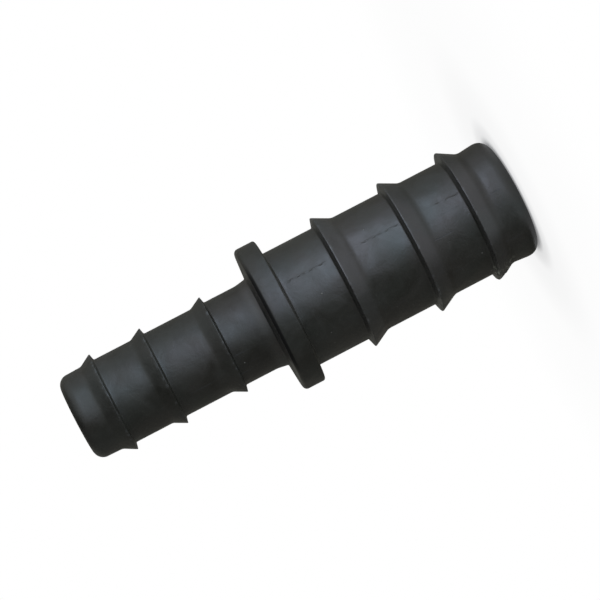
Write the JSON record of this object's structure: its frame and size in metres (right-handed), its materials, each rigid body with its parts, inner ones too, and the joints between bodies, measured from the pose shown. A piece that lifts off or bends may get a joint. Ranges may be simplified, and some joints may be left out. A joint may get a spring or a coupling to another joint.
{
  "type": "barbed reducing connector",
  "caption": "Straight moulded pipe connector that steps down from a large barbed spigot to a small one, with a round stop flange between them and an open stepped bore.",
  "frame": {"origin": "centre of the large spigot's end face, on the bore's axis, which is the centre of the base it stands on", "axes": "+Z along the bore's axis, from the large end to the small end; the part is round, so X and Y are alike"},
  "size_m": [0.0198, 0.0198, 0.062],
  "materials": {
    "black_plastic": "moulded, satin black"
  },
  "bodies": {
    "root": {"connector": "black_plastic"}
  },
  "joints": []
}
